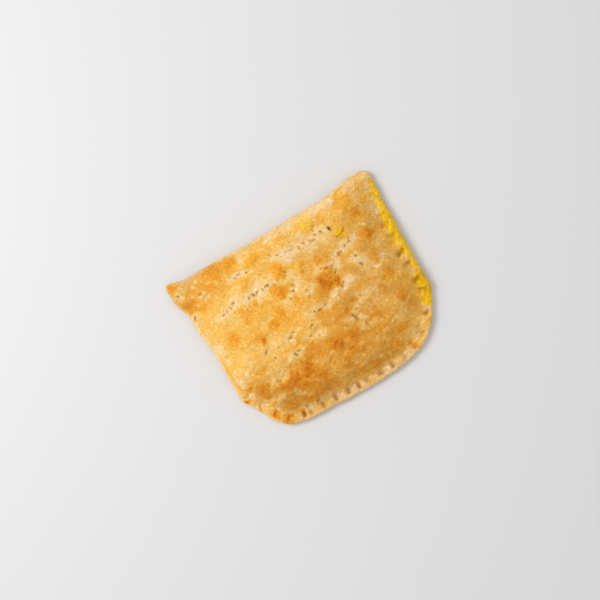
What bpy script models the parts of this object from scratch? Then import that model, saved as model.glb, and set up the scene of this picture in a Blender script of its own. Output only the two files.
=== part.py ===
"""A Jamaican patty: a savoury turnover of yellow shortcrust, folded over its
filling at the back and pressed shut with a fork along its right, front and
left corner edges.

Lengths below are millimetres and become metres in the mesh. The origin is
under the middle of the patty's box, on the surface that it rests on. +X runs
along the fold, +Y points to the fold and +Z is up.
"""

import bpy
import numpy as np

MM = 0.001

# The plan: how far each edge lies from the origin, and the span over which each
# changes.
RIGHT_REACH = 63.25
RIGHT_FLARE = 0.9
RIGHT_FLARE_SPAN = (0.0, 48.0)
LEFT_REACH = 58.8
LEFT_LEAN = 1.8
LEFT_LEAN_SPAN = (0.0, 25.0)
LEFT_LOBE = 3.6
LEFT_LOBE_SPAN = (28.0, 44.0)
FOLD_REACH = 49.4
FOLD_RIGHT_RISE = 3.8
FOLD_RIGHT_SPAN = (31.0, 56.0)
FOLD_RIGHT_DROP = 1.7
FOLD_DROP_SPAN = (56.0, 65.0)
FOLD_LEFT_RISE = 2.0
FOLD_LEFT_SPAN = (-50.0, -62.0)
FRONT_REACH = 53.1
RIGHT_CORNER_SQUARENESS = 3.15
LEFT_CORNER_SQUARENESS = 3.35
BACK_SQUARENESS = 70.0

# The cut edge wavers, as a hand leaves it. Bulges of the fold are (x, half width,
# height), and those of the open edge (angle from +X in degrees, half width in degrees,
# share of the reach). The waver, as every random field here, is a sum of WAVE_COUNT
# sine waves.
FOLD_BULGES = ((-47.0, 5.0, -0.35), (-11.0, 11.0, -0.45), (25.0, 10.0, 0.35))
EDGE_BULGES = (
    (-20.0, 6.0, 0.017),
    (-37.0, 8.0, -0.011),
    (-104.0, 8.0, -0.012),
    (-126.5, 7.5, 0.025),
    (-144.5, 6.0, -0.018),
    (-156.5, 5.5, 0.021),
)
EDGE_WAVER = 0.0028
EDGE_WAVER_COUNTS = (17, 46)
EDGE_WAVER_SEED = 15
WAVE_COUNT = 9

# The edge, given for the fold, the front, the right and the left in turn, and the
# spans over which one gives way to the next.
SEAM_HEIGHT = (5.6, 2.2, 3.2, 4.6)
EDGE_ROUNDING = (8.5, 2.0, 7.0, 6.5)
EDGE_HEIGHT = (12.4, 4.6, 8.4, 10.2)
UNDER_ROUNDING = (6.0, 1.6, 2.2, 5.0)
RIM_WIDTH = (0.5, 6.0, 5.0, 2.0)
RISE_LENGTH = (27.0, 25.0, 23.0, 25.0)
SEAM_GROOVE_DEPTH = (0.0, 0.5, 0.5, 0.12)
SEAM_GROOVE_HEIGHT = 0.7
TOWARD_FOLD = (24.0, 48.0)
TOWARD_FRONT = (-8.0, -34.0)
TOWARD_RIGHT = (-30.0, 30.0)
PINCH = 0.38
PINCH_ACROSS = (36.0, 62.0)
PINCH_ALONG = (14.0, 46.0)

# The domed crust over the filling.
DOME_HEIGHT = 16.9
RISE_SHOULDER = 2.3
RISE_TOE = 1.3
SWELL_HEIGHT = 0.62
SWELL_LENGTHS = (34.0, 70.0)
SWELL_SEED = 5
LUMP_HEIGHT = 0.3
LUMP_LENGTHS = (12.0, 24.0)
LUMP_SEED = 8
LUMP_FADE = 9.0

# The fork marks: (length along the open edge from the back right corner, depth),
# round to the left corner.
FORK_MARKS = (
    (14.2, 0.8),
    (24.7, 0.7),
    (31.5, 0.8),
    (39.2, 1.0),
    (47.0, 1.7),
    (55.7, 1.2),
    (64.7, 1.3),
    (74.8, 1.2),
    (87.0, 1.6),
    (99.0, 1.0),
    (109.6, 0.9),
    (118.5, 0.9),
    (127.2, 1.4),
    (134.8, 1.1),
    (142.6, 1.0),
    (149.2, 1.6),
    (156.2, 1.4),
    (163.7, 1.4),
    (170.7, 1.1),
    (178.3, 1.2),
    (184.4, 1.5),
    (194.2, 1.0),
    (202.5, 1.1),
    (213.0, 0.9),
    (222.8, 0.7),
)
MARK_HALF_WIDTH = 1.15
MARK_START = (1.0, 1.5, 2.3, 1.6)
MARK_LENGTH = (5.0, 5.6, 7.6, 5.4)
MARK_FADE_IN = 1.6
MARK_FADE_OUT = 2.8
MARK_SLANT = 0.18
MARK_SEED = 11

# Blisters large enough to feel: (x, y, radius), each drawn out of round.
BLISTERS = (
    (15.1, 10.1, 6.2),
    (-5.9, 27.1, 5.2),
    (-10.4, 17.1, 4.6),
    (-15.4, 39.0, 4.4),
    (-16.4, 6.6, 4.2),
    (-44.9, 8.1, 3.4),
    (-21.4, 3.1, 2.8),
    (45.6, 21.6, 4.4),
    (46.1, 34.1, 3.4),
    (2.6, -22.9, 3.6),
    (13.6, -22.4, 3.0),
    (-23.4, -26.9, 5.0),
    (-31.0, -29.0, 3.4),
    (-42.4, -22.9, 3.0),
    (46.6, -17.9, 3.2),
    (39.1, -7.9, 3.0),
    (45.1, -3.0, 3.0),
    (-37.4, 44.0, 4.0),
)
BLISTER_HEIGHT = 0.13
BLISTER_WANDER = 1.1
BLISTER_WANDER_LENGTHS = (6.0, 13.0)
BLISTER_WANDER_SEEDS = (21, 22)

# The mesh: cells along the fold, cells from front to back, and rings down the
# edge above and below the seam.
CELLS_LONG = 120
CELLS_DEEP = 100
RINGS_ABOVE = 6
RINGS_BELOW = 4
TOP_INSET = 1.4
OUTLINE_SAMPLES = 3600
SOLID_TRIANGLES = 11400

CRUST_COLOUR = (0.775, 0.407, 0.091, 1.0)
CRUST_ROUGHNESS = 0.62


def smooth(t):
    """The smooth step 3t^2 - 2t^3, held at 0 below t = 0 and at 1 above t = 1."""
    t = np.clip(t, 0.0, 1.0)
    return t * t * (3.0 - 2.0 * t)


def ramp(value, span):
    """The smooth step from 0 at the span's first end to 1 at its second."""
    start, end = span
    return smooth((value - start) / (end - start))


def fold_line(x):
    """How far back the fold lies at x: drawn in along its middle, out at both ends."""
    line = FOLD_REACH + FOLD_RIGHT_RISE * ramp(x, FOLD_RIGHT_SPAN)
    line = line - FOLD_RIGHT_DROP * ramp(x, FOLD_DROP_SPAN)
    line = line + FOLD_LEFT_RISE * ramp(x, FOLD_LEFT_SPAN)
    for centre, half_width, height in FOLD_BULGES:
        line = line + height * np.exp(-(((x - centre) / half_width) ** 2))
    return line


def right_line(y):
    """How far the right edge lies from x = 0, a little more toward the fold."""
    return RIGHT_REACH + RIGHT_FLARE * ramp(y, RIGHT_FLARE_SPAN)


def left_line(y):
    """How far the left edge lies from x = 0: it leans out, then flares in a lobe."""
    lean = LEFT_LEAN * ramp(y, LEFT_LEAN_SPAN)
    return LEFT_REACH + lean + LEFT_LOBE * ramp(y, LEFT_LOBE_SPAN)


def bulged(turn):
    """The share by which the edge at each angle lies outside its plain curve: a bell at
    each bulge, and sine waves whose counts in a full turn are drawn at random."""
    share = np.zeros_like(turn)
    for centre, half_width, height in EDGE_BULGES:
        away = (np.degrees(turn) - centre + 180.0) % 360.0 - 180.0
        share += height * np.exp(-((away / half_width) ** 2))
    draw = np.random.default_rng(EDGE_WAVER_SEED)
    for _ in range(WAVE_COUNT):
        count = draw.integers(*EDGE_WAVER_COUNTS)
        phase = draw.uniform(0.0, 2.0 * np.pi)
        share += EDGE_WAVER * np.sin(count * turn + phase) / np.sqrt(WAVE_COUNT)
    return share


def outline(turn):
    """The plan point at each angle: a superellipse in polar form, with nearly square
    corners at the back and round ones at the front, stretched to the edge lines."""
    across = np.cos(turn)
    along = np.sin(turn)
    power = np.where(across > 0.0, RIGHT_CORNER_SQUARENESS, LEFT_CORNER_SQUARENESS)
    power = np.where(along > 0.0, BACK_SQUARENESS, power)
    reach = (np.abs(across) ** power + np.abs(along) ** power) ** (-1.0 / power)
    reach = reach * (1.0 + bulged(turn))
    u = reach * across
    v = reach * along
    y = v * np.where(v > 0.0, fold_line(u * RIGHT_REACH), FRONT_REACH)
    x = u * np.where(u > 0.0, right_line(y), left_line(y))
    return np.stack([x, y], axis=-1)


def measured(points):
    """The length along a row of points up to each of them."""
    steps = np.linalg.norm(np.diff(points, axis=0), axis=1)
    return np.concatenate([[0.0], np.cumsum(steps)])


def resampled(points, cells):
    """The same row of points at even steps: `cells` steps and one point more."""
    length = measured(points)
    at = np.linspace(0.0, length[-1], cells + 1)
    return np.stack([np.interp(at, length, points[:, k]) for k in (0, 1)], axis=-1)


def side(first_corner, cells):
    """One side of the outline, a quarter turn from `first_corner` (in right angles)."""
    turn = np.linspace(first_corner, first_corner + 1.0, OUTLINE_SAMPLES) * np.pi / 2.0
    return resampled(outline(turn), cells)


def edge_loop():
    """The outline's points in order, anticlockwise from the front left corner, with
    the unit normals that point inward."""
    counts = (CELLS_LONG, CELLS_DEEP, CELLS_LONG, CELLS_DEEP)
    sides = [side(-1.5 + k, counts[k])[:-1] for k in range(4)]
    points = np.concatenate(sides)
    along = np.roll(points, -1, axis=0) - np.roll(points, 1, axis=0)
    inward = np.stack([-along[:, 1], along[:, 0]], axis=-1)
    return points, inward / np.linalg.norm(inward, axis=1, keepdims=True)


def patch(loop):
    """A grid of points inside a closed loop: the Coons patch, each point the sum of
    what its two rows and its two columns of edge points give, less the corners."""
    n = CELLS_LONG
    m = CELLS_DEEP
    front = loop[: n + 1]
    right = loop[n : n + m + 1]
    back = loop[n + m : 2 * n + m + 1][::-1]
    left = np.concatenate([loop[2 * n + m :], loop[:1]])[::-1]
    a = np.linspace(0.0, 1.0, n + 1)[:, None, None]
    b = np.linspace(0.0, 1.0, m + 1)[None, :, None]
    rows = (1 - b) * front[:, None] + b * back[:, None]
    columns = (1 - a) * left[None] + a * right[None]
    near = (1 - a) * front[0] + a * front[-1]
    far = (1 - a) * back[0] + a * back[-1]
    return rows + columns - ((1 - b) * near + b * far)


def mixed(x, y, values):
    """A value that is given for the fold, front, right and left, at each place."""
    fold, front, right, left = values
    middle = left + (right - left) * ramp(x, TOWARD_RIGHT)
    to_fold = (fold - middle) * ramp(y, TOWARD_FOLD)
    to_front = (front - middle) * ramp(y, TOWARD_FRONT)
    return middle + to_fold + to_front


def nearest_edge(x, y, edge):
    """The distance from each point to the outline, and the length along the open
    edge, clockwise from the back right corner, of the outline's nearest point."""
    length = measured(edge)
    gap = np.empty(x.shape)
    place = np.empty(x.shape)
    for row in range(x.shape[0]):
        apart = np.hypot(x[row][:, None] - edge[:, 0], y[row][:, None] - edge[:, 1])
        found = apart.argmin(axis=1)
        gap[row] = apart[np.arange(len(found)), found]
        place[row] = length[found]
    return gap, place


def waves(x, y, lengths, seed):
    """A smooth random field, about -1 to 1: the sum of WAVE_COUNT sine waves whose
    lengths, directions and phases are drawn at random."""
    draw = np.random.default_rng(seed)
    total = np.zeros_like(x)
    for _ in range(WAVE_COUNT):
        size = draw.uniform(*lengths)
        heading = draw.uniform(0.0, 2.0 * np.pi)
        phase = draw.uniform(0.0, 2.0 * np.pi)
        ahead = x * np.cos(heading) + y * np.sin(heading)
        total += np.sin(2.0 * np.pi * ahead / size + phase)
    return total / np.sqrt(WAVE_COUNT)


def crimps(x, y, gap, place):
    """How deep the fork marks press at each point: a row of narrow troughs across the
    edge, each a bell in the length along the edge, within the rim's width."""
    draw = np.random.default_rng(MARK_SEED)
    pressed = np.zeros_like(gap)
    inward = gap - mixed(x, y, MARK_START)
    within = ramp(inward, (0.0, MARK_FADE_IN))
    within = within * smooth((mixed(x, y, MARK_LENGTH) - inward) / MARK_FADE_OUT)
    for centre, depth in FORK_MARKS:
        at = centre + MARK_SLANT * draw.uniform(-1.0, 2.0) * gap
        width = MARK_HALF_WIDTH * draw.uniform(0.85, 1.25)
        pressed += depth * within * np.exp(-(((place - at) / width) ** 2))
    return pressed


def blisters(x, y):
    """Low mounds where steam has lifted the crust: (1 - r^2)^2 within each radius, on
    a plan that wanders a little so that none is round."""
    wander_x = BLISTER_WANDER * waves(x, y, BLISTER_WANDER_LENGTHS, BLISTER_WANDER_SEEDS[0])
    wander_y = BLISTER_WANDER * waves(x, y, BLISTER_WANDER_LENGTHS, BLISTER_WANDER_SEEDS[1])
    lifted = np.zeros_like(x)
    for centre_x, centre_y, radius in BLISTERS:
        away = np.hypot(x + wander_x - centre_x, y + wander_y - centre_y) / radius
        lifted += BLISTER_HEIGHT * radius * np.clip(1.0 - away**2, 0.0, None) ** 2
    return lifted


def risen(x, y):
    """How far the dome has risen, 0 at the rim and 1 over the filling: one rise in
    from the open sides times another in from the fold."""
    u = x / np.where(x > 0.0, right_line(y), left_line(y))
    v = np.clip(-y / FRONT_REACH, 0.0, None)
    power = np.where(x > 0.0, RIGHT_CORNER_SQUARENESS, LEFT_CORNER_SQUARENESS)
    nearness = (np.abs(u) ** power + v**power) ** (1.0 / power)
    from_open = (1.0 - nearness) * (RIGHT_REACH + LEFT_REACH) / 2.0
    from_fold = fold_line(x) - y
    open_rim = mixed(x, np.minimum(y, 0.0), RIM_WIDTH)
    open_rise = mixed(x, np.minimum(y, 0.0), RISE_LENGTH)
    total = 1.0
    for away, rim, rise in (
        (from_open, open_rim, open_rise),
        (from_fold, RIM_WIDTH[0], RISE_LENGTH[0]),
    ):
        part = np.clip((away - rim) / rise, 0.0, 1.0)
        total = total * (1.0 - (1.0 - part) ** RISE_SHOULDER) ** RISE_TOE
    return total


def pinched(x, y, values):
    """A height that is given for the fold, front, right and left, at each place, less
    where the two back corners are pressed thin."""
    corner = ramp(np.abs(x), PINCH_ACROSS) * ramp(y, PINCH_ALONG)
    return mixed(x, y, values) * (1.0 - PINCH * corner)


def top_height(x, y, gap, place):
    """The crust's upper face: a quarter ellipse up from the seam at the edge, then the
    rise of the dome, its swells, lumps and blisters, less the fork marks."""
    seam = pinched(x, y, SEAM_HEIGHT)
    edge = pinched(x, y, EDGE_HEIGHT)
    inset = np.clip(gap / mixed(x, y, EDGE_ROUNDING), 0.0, 1.0)
    rounded = seam + (edge - seam) * np.sqrt(1.0 - (1.0 - inset) ** 2)
    up = risen(x, y)
    swells = SWELL_HEIGHT * waves(x, y, SWELL_LENGTHS, SWELL_SEED) * up
    lumps = LUMP_HEIGHT * waves(x, y, LUMP_LENGTHS, LUMP_SEED) * smooth(gap / LUMP_FADE)
    relief = swells + lumps + blisters(x, y) - crimps(x, y, gap, place)
    return rounded + (DOME_HEIGHT - edge) * up + relief


def under_height(x, y, gap):
    """The underside: flat on z = 0, and a quarter ellipse up to the seam at the edge."""
    inset = np.clip(gap / mixed(x, y, UNDER_ROUNDING), 0.0, 1.0)
    return pinched(x, y, SEAM_HEIGHT) * (1.0 - np.sqrt(1.0 - (1.0 - inset) ** 2))


def edge_wall(points, inward, edge):
    """The rings round the edge from the upper face down to the underside, as an array
    of ring by point. Each follows the two quarter ellipses that meet at the seam, and
    the open sides have a groove there."""
    x = points[:, 0]
    y = points[:, 1]
    seam = pinched(x, y, SEAM_HEIGHT)
    rise = pinched(x, y, EDGE_HEIGHT) - seam
    over = mixed(x, y, EDGE_ROUNDING)
    under = mixed(x, y, UNDER_ROUNDING)
    top_x = x + inward[:, 0] * TOP_INSET
    top_y = y + inward[:, 1] * TOP_INSET
    gap, place = nearest_edge(top_x[None], top_y[None], edge)
    meeting = top_height(top_x, top_y, gap[0], place[0])
    top_turn = np.arccos(1.0 - TOP_INSET / over)
    low_turn = np.arccos(1.0 - TOP_INSET / np.maximum(under, TOP_INSET))
    spare = meeting - seam - rise * np.sin(top_turn)
    groove_depth = mixed(x, y, SEAM_GROOVE_DEPTH)
    rings = []
    for step in range(RINGS_ABOVE + RINGS_BELOW + 1):
        if step <= RINGS_ABOVE:
            share = 1.0 - step / RINGS_ABOVE
            inset = over * (1.0 - np.cos(top_turn * share))
            z = seam + rise * np.sin(top_turn * share) + spare * share
        else:
            share = (step - RINGS_ABOVE) / RINGS_BELOW
            inset = under * (1.0 - np.cos(low_turn * share))
            z = seam * (1.0 - np.sin(low_turn * share))
        groove = np.exp(-(((z - seam) / SEAM_GROOVE_HEIGHT) ** 2))
        inset = inset + groove_depth * groove
        ring = np.stack([x + inward[:, 0] * inset, y + inward[:, 1] * inset, z], axis=-1)
        rings.append(ring)
    return np.array(rings)


def loop_indices(first):
    """The indices of a grid's edge points, in the outline's order, for a grid of
    (CELLS_LONG + 1) by (CELLS_DEEP + 1) points that starts at index `first`."""
    grid = first + np.arange((CELLS_LONG + 1) * (CELLS_DEEP + 1)).reshape(CELLS_LONG + 1, -1)
    return grid, np.concatenate([grid[:-1, 0], grid[-1, :-1], grid[:0:-1, -1], grid[0, :0:-1]])


def grid_faces(grid):
    """The four-cornered faces of a grid of point indices, facing up."""
    corners = (grid[:-1, :-1], grid[1:, :-1], grid[1:, 1:], grid[:-1, 1:])
    return np.stack(corners, axis=-1).reshape(-1, 4)


def patty_mesh():
    """The closed surface: the upper grid, the rings round the edge and the underside."""
    turns = np.linspace(0.5, -3.5, OUTLINE_SAMPLES) * np.pi / 2.0
    edge = resampled(outline(turns), OUTLINE_SAMPLES)
    points, inward = edge_loop()
    wall = edge_wall(points, inward, edge)

    upper = patch(wall[0][:, :2])
    gap, place = nearest_edge(upper[..., 0], upper[..., 1], edge)
    upper_z = top_height(upper[..., 0], upper[..., 1], gap, place)
    lower = patch(wall[-1][:, :2])
    gap, place = nearest_edge(lower[..., 0], lower[..., 1], edge)
    lower_z = under_height(lower[..., 0], lower[..., 1], gap)

    upper = np.concatenate([upper, upper_z[..., None]], axis=-1).reshape(-1, 3)
    lower = np.concatenate([lower, lower_z[..., None]], axis=-1).reshape(-1, 3)
    middle = wall[1:-1].reshape(-1, 3)
    upper_grid, upper_loop = loop_indices(0)
    lower_grid, lower_loop = loop_indices(len(upper) + len(middle))
    middle_loops = len(upper) + np.arange(len(middle)).reshape(-1, len(points))
    upper[upper_loop] = wall[0]
    lower[upper_loop] = wall[-1]

    loops = np.concatenate([upper_loop[None], middle_loops, lower_loop[None]])
    after = np.roll(loops, -1, axis=1)
    sides = np.stack([loops[:-1], loops[1:], after[1:], after[:-1]], axis=-1).reshape(-1, 4)
    faces = np.concatenate([grid_faces(upper_grid), sides, grid_faces(lower_grid)[:, ::-1]])
    return np.concatenate([upper, middle, lower]) * MM, faces


def crust_material():
    """Baked yellow shortcrust: matt, with a faint sheen of fat."""
    material = bpy.data.materials.new("crust")
    material.use_nodes = True
    shader = material.node_tree.nodes["Principled BSDF"]
    shader.inputs["Base Color"].default_value = CRUST_COLOUR
    shader.inputs["Roughness"].default_value = CRUST_ROUGHNESS
    shader.inputs["Metallic"].default_value = 0.0
    return material


def build_patty():
    """The patty as one object, its dense mesh reduced to the wanted triangles."""
    points, faces = patty_mesh()
    mesh = bpy.data.meshes.new("patty")
    mesh.from_pydata(points.tolist(), [], faces.tolist())
    mesh.shade_smooth()
    mesh.materials.append(crust_material())
    patty = bpy.data.objects.new("patty", mesh)
    bpy.context.scene.collection.objects.link(patty)
    reduce = patty.modifiers.new("reduce", "DECIMATE")
    reduce.ratio = SOLID_TRIANGLES / (2 * len(faces))


for old in list(bpy.data.objects):
    bpy.data.objects.remove(old)
build_patty()
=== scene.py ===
"""A baked Jamaican patty, dressed over its solid: golden flaky shortcrust with
brown blisters, fork pricks, a crimped rim and a bright yellow unbaked edge.

Lengths are in millimetres and become metres where the crust's mesh is made. Those
whose name ends in _M are in metres. +X runs along the fold, and +Y points to it.
"""

import bpy
import numpy as np
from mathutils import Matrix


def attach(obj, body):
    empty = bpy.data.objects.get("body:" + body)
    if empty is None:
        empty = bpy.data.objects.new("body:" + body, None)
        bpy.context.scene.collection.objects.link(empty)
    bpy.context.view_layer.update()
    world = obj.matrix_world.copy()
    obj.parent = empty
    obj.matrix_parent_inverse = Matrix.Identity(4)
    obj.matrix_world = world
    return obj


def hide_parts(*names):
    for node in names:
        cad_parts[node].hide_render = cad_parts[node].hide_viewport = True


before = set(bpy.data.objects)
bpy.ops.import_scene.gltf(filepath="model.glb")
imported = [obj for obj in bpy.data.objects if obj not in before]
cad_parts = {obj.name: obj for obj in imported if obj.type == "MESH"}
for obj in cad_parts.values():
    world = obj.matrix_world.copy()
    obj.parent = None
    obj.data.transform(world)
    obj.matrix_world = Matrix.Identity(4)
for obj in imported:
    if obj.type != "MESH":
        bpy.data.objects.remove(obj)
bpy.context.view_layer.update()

# The outline of the patty: pastry rolled to a rectangle, folded over at the back and
# cut round at its two front corners. The fold draws in along its middle, and the left
# end of it flares out in a lobe. These sizes are the solid's own.
RIGHT_REACH = 63.25
RIGHT_FLARE = 0.9
RIGHT_FLARE_SPAN = (0.0, 48.0)
LEFT_REACH = 58.8
LEFT_LEAN = 1.8
LEFT_LEAN_SPAN = (0.0, 25.0)
LEFT_LOBE = 3.6
LEFT_LOBE_SPAN = (28.0, 44.0)
FOLD_REACH = 49.4
FOLD_RIGHT_RISE = 3.8
FOLD_RIGHT_SPAN = (31.0, 56.0)
FOLD_RIGHT_DROP = 1.7
FOLD_DROP_SPAN = (56.0, 65.0)
FOLD_LEFT_RISE = 2.0
FOLD_LEFT_SPAN = (-50.0, -62.0)
FRONT_REACH = 53.1
RIGHT_CORNER_SQUARENESS = 3.15
LEFT_CORNER_SQUARENESS = 3.35
BACK_SQUARENESS = 70.0

# The cut edge wavers, as a hand leaves it. Bulges of the fold are (x, half width,
# height), and those of the open edge (angle from +X and half width, in degrees, and
# share of the reach). Corners are in right angles from +X.
FOLD_BULGES = ((-47.0, 5.0, -0.35), (-11.0, 11.0, -0.45), (25.0, 10.0, 0.35))
EDGE_BULGES = (
    (-20.0, 6.0, 0.017),
    (-37.0, 8.0, -0.011),
    (-104.0, 8.0, -0.012),
    (-126.5, 7.5, 0.025),
    (-144.5, 6.0, -0.018),
    (-156.5, 5.5, 0.021),
)
EDGE_WAVER = 0.0028
EDGE_WAVER_COUNTS = (17, 46)
EDGE_WAVER_SEED = 15
WAVE_COUNT = 9
OUTLINE_SAMPLES = 3600
FRONT_LEFT_CORNER = -1.5
BACK_RIGHT_CORNER = 0.5
CELLS_LONG = 280
CELLS_DEEP = 240
EVENING_STEPS = 200
NORMAL_REACH = 5


def smooth(t):
    """The smooth step 3t^2 - 2t^3, held at 0 below t = 0 and at 1 above t = 1."""
    t = np.clip(t, 0.0, 1.0)
    return t * t * (3.0 - 2.0 * t)


def ramp(value, span):
    """The smooth step from 0 at the span's first end to 1 at its second."""
    start, end = span
    return smooth((value - start) / (end - start))


def bell(away):
    """The bell exp(-r^2): 1 at r = 0, and nearly 0 from r = 2."""
    return np.exp(-(away**2))


def fold_line(x):
    """How far back the fold lies at x: drawn in along its middle, out at both ends."""
    line = FOLD_REACH + FOLD_RIGHT_RISE * ramp(x, FOLD_RIGHT_SPAN)
    line = line - FOLD_RIGHT_DROP * ramp(x, FOLD_DROP_SPAN)
    line = line + FOLD_LEFT_RISE * ramp(x, FOLD_LEFT_SPAN)
    for centre, half_width, height in FOLD_BULGES:
        line = line + height * bell((x - centre) / half_width)
    return line


def right_line(y):
    """How far the right edge lies from x = 0, a little more toward the fold."""
    return RIGHT_REACH + RIGHT_FLARE * ramp(y, RIGHT_FLARE_SPAN)


def left_line(y):
    """How far the left edge lies from x = 0: it leans out, then flares in a lobe."""
    lean = LEFT_LEAN * ramp(y, LEFT_LEAN_SPAN)
    return LEFT_REACH + lean + LEFT_LOBE * ramp(y, LEFT_LOBE_SPAN)


def bulged(turn):
    """The share by which the edge at each angle lies outside its plain curve: a bell at
    each bulge, and sine waves whose counts in a full turn are drawn at random."""
    share = np.zeros_like(turn)
    for centre, half_width, height in EDGE_BULGES:
        away = (np.degrees(turn) - centre + 180.0) % 360.0 - 180.0
        share += height * bell(away / half_width)
    draw = np.random.default_rng(EDGE_WAVER_SEED)
    for _ in range(WAVE_COUNT):
        count = draw.integers(*EDGE_WAVER_COUNTS)
        phase = draw.uniform(0.0, 2.0 * np.pi)
        share += EDGE_WAVER * np.sin(count * turn + phase) / np.sqrt(WAVE_COUNT)
    return share


def outline(turn):
    """The plan point at each angle: a superellipse in polar form, with nearly square
    corners at the back and round ones at the front, stretched to the edge lines."""
    across = np.cos(turn)
    along = np.sin(turn)
    power = np.where(across > 0.0, RIGHT_CORNER_SQUARENESS, LEFT_CORNER_SQUARENESS)
    power = np.where(along > 0.0, BACK_SQUARENESS, power)
    reach = (np.abs(across) ** power + np.abs(along) ** power) ** (-1.0 / power)
    reach = reach * (1.0 + bulged(turn))
    u = reach * across
    v = reach * along
    y = v * np.where(v > 0.0, fold_line(u * RIGHT_REACH), FRONT_REACH)
    x = u * np.where(u > 0.0, right_line(y), left_line(y))
    return np.stack([x, y], axis=-1)


def measured(points):
    """The length along a row of points up to each of them."""
    steps = np.linalg.norm(np.diff(points, axis=0), axis=1)
    return np.concatenate([[0.0], np.cumsum(steps)])


def resampled(points, cells):
    """The same row of points at even steps: `cells` steps and one point more."""
    length = measured(points)
    at = np.linspace(0.0, length[-1], cells + 1)
    return np.stack([np.interp(at, length, points[:, k]) for k in (0, 1)], axis=-1)


def side(first_corner, cells):
    """One side of the outline, a quarter turn from `first_corner` (in right angles)."""
    turn = np.linspace(first_corner, first_corner + 1.0, OUTLINE_SAMPLES) * np.pi / 2.0
    return resampled(outline(turn), cells)


def edge_loop():
    """The outline's points in order, anticlockwise from the front left corner, with
    the unit normals that point inward, each square to the line between the points
    NORMAL_REACH before and after."""
    counts = (CELLS_LONG, CELLS_DEEP, CELLS_LONG, CELLS_DEEP)
    sides = [side(FRONT_LEFT_CORNER + k, counts[k])[:-1] for k in range(4)]
    points = np.concatenate(sides)
    along = np.roll(points, -NORMAL_REACH, axis=0) - np.roll(points, NORMAL_REACH, axis=0)
    inward = np.stack([-along[:, 1], along[:, 0]], axis=-1)
    return points, inward / np.linalg.norm(inward, axis=1, keepdims=True)


def patch(loop, n, m):
    """A grid of n by m cells inside a closed loop: the Coons patch, each point the sum
    of what its two rows and its two columns of edge points give, less the corners. Each
    inner point then moves to the mean of its four neighbours, many times over, which
    evens out cells that are crowded against the loop."""
    front = loop[: n + 1]
    right = loop[n : n + m + 1]
    back = loop[n + m : 2 * n + m + 1][::-1]
    left = np.concatenate([loop[2 * n + m :], loop[:1]])[::-1]
    a = np.linspace(0.0, 1.0, n + 1)[:, None, None]
    b = np.linspace(0.0, 1.0, m + 1)[None, :, None]
    rows = (1 - b) * front[:, None] + b * back[:, None]
    columns = (1 - a) * left[None] + a * right[None]
    near = (1 - a) * front[0] + a * front[-1]
    far = (1 - a) * back[0] + a * back[-1]
    grid = rows + columns - ((1 - b) * near + b * far)
    for _ in range(EVENING_STEPS):
        beside = grid[:-2, 1:-1] + grid[2:, 1:-1]
        grid[1:-1, 1:-1] = (beside + grid[1:-1, :-2] + grid[1:-1, 2:]) / 4.0
    return grid


open_turns = np.linspace(BACK_RIGHT_CORNER, BACK_RIGHT_CORNER - 4.0, OUTLINE_SAMPLES)
edge = resampled(outline(open_turns * np.pi / 2.0), OUTLINE_SAMPLES)


def nearest_edge(x, y):
    """The distance from each point to the outline, and the length along the open
    edge, clockwise from the back right corner, of the outline's nearest point."""
    length = measured(edge)
    gap = np.empty(x.shape)
    place = np.empty(x.shape)
    for row in range(x.shape[0]):
        apart = np.hypot(x[row][:, None] - edge[:, 0], y[row][:, None] - edge[:, 1])
        found = apart.argmin(axis=1)
        gap[row] = apart[np.arange(len(found)), found]
        place[row] = length[found]
    return gap, place


# The body of the patty: two sheets of crust that meet in a thin crimped rim at the
# front, a steeper cut side at the right and a rolled edge at the fold and the left,
# raised in a low dome by the filling. Each value is for fold, front, right and left.
SEAM_HEIGHT = (5.6, 2.2, 3.2, 4.6)
EDGE_ROUNDING = (8.5, 2.0, 7.0, 6.5)
EDGE_HEIGHT = (12.4, 4.6, 8.4, 10.2)
UNDER_ROUNDING = (6.0, 1.6, 2.2, 5.0)
RIM_WIDTH = (0.5, 6.0, 5.0, 2.0)
RISE_LENGTH = (27.0, 25.0, 23.0, 25.0)
SEAM_GROOVE_DEPTH = (0.0, 0.5, 0.5, 0.12)
SEAM_GROOVE_HEIGHT = 0.7
TOWARD_FOLD = (24.0, 48.0)
TOWARD_FRONT = (-8.0, -34.0)
TOWARD_RIGHT = (-30.0, 30.0)
PINCH = 0.38
PINCH_ACROSS = (36.0, 62.0)
PINCH_ALONG = (14.0, 46.0)
DOME_HEIGHT = 16.9
RISE_SHOULDER = 2.3
RISE_TOE = 1.3
SWELL_HEIGHT = 0.62
SWELL_LENGTHS = (34.0, 70.0)
SWELL_SEED = 5
LUMP_HEIGHT = 0.3
LUMP_LENGTHS = (12.0, 24.0)
LUMP_SEED = 8
LUMP_FADE = 9.0


def mixed(x, y, values):
    """A value that is given for the fold, front, right and left, at each place."""
    fold, front, right, left = values
    middle = left + (right - left) * ramp(x, TOWARD_RIGHT)
    to_fold = (fold - middle) * ramp(y, TOWARD_FOLD)
    to_front = (front - middle) * ramp(y, TOWARD_FRONT)
    return middle + to_fold + to_front


def waves(x, y, lengths, seed, count=WAVE_COUNT):
    """A smooth random field, about -1 to 1: the sum of `count` sine waves whose
    lengths, directions and phases are drawn at random."""
    draw = np.random.default_rng(seed)
    total = np.zeros_like(x)
    for _ in range(count):
        size = draw.uniform(*lengths)
        heading = draw.uniform(0.0, 2.0 * np.pi)
        phase = draw.uniform(0.0, 2.0 * np.pi)
        ahead = x * np.cos(heading) + y * np.sin(heading)
        total += np.sin(2.0 * np.pi * ahead / size + phase)
    return total / np.sqrt(count)


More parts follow.
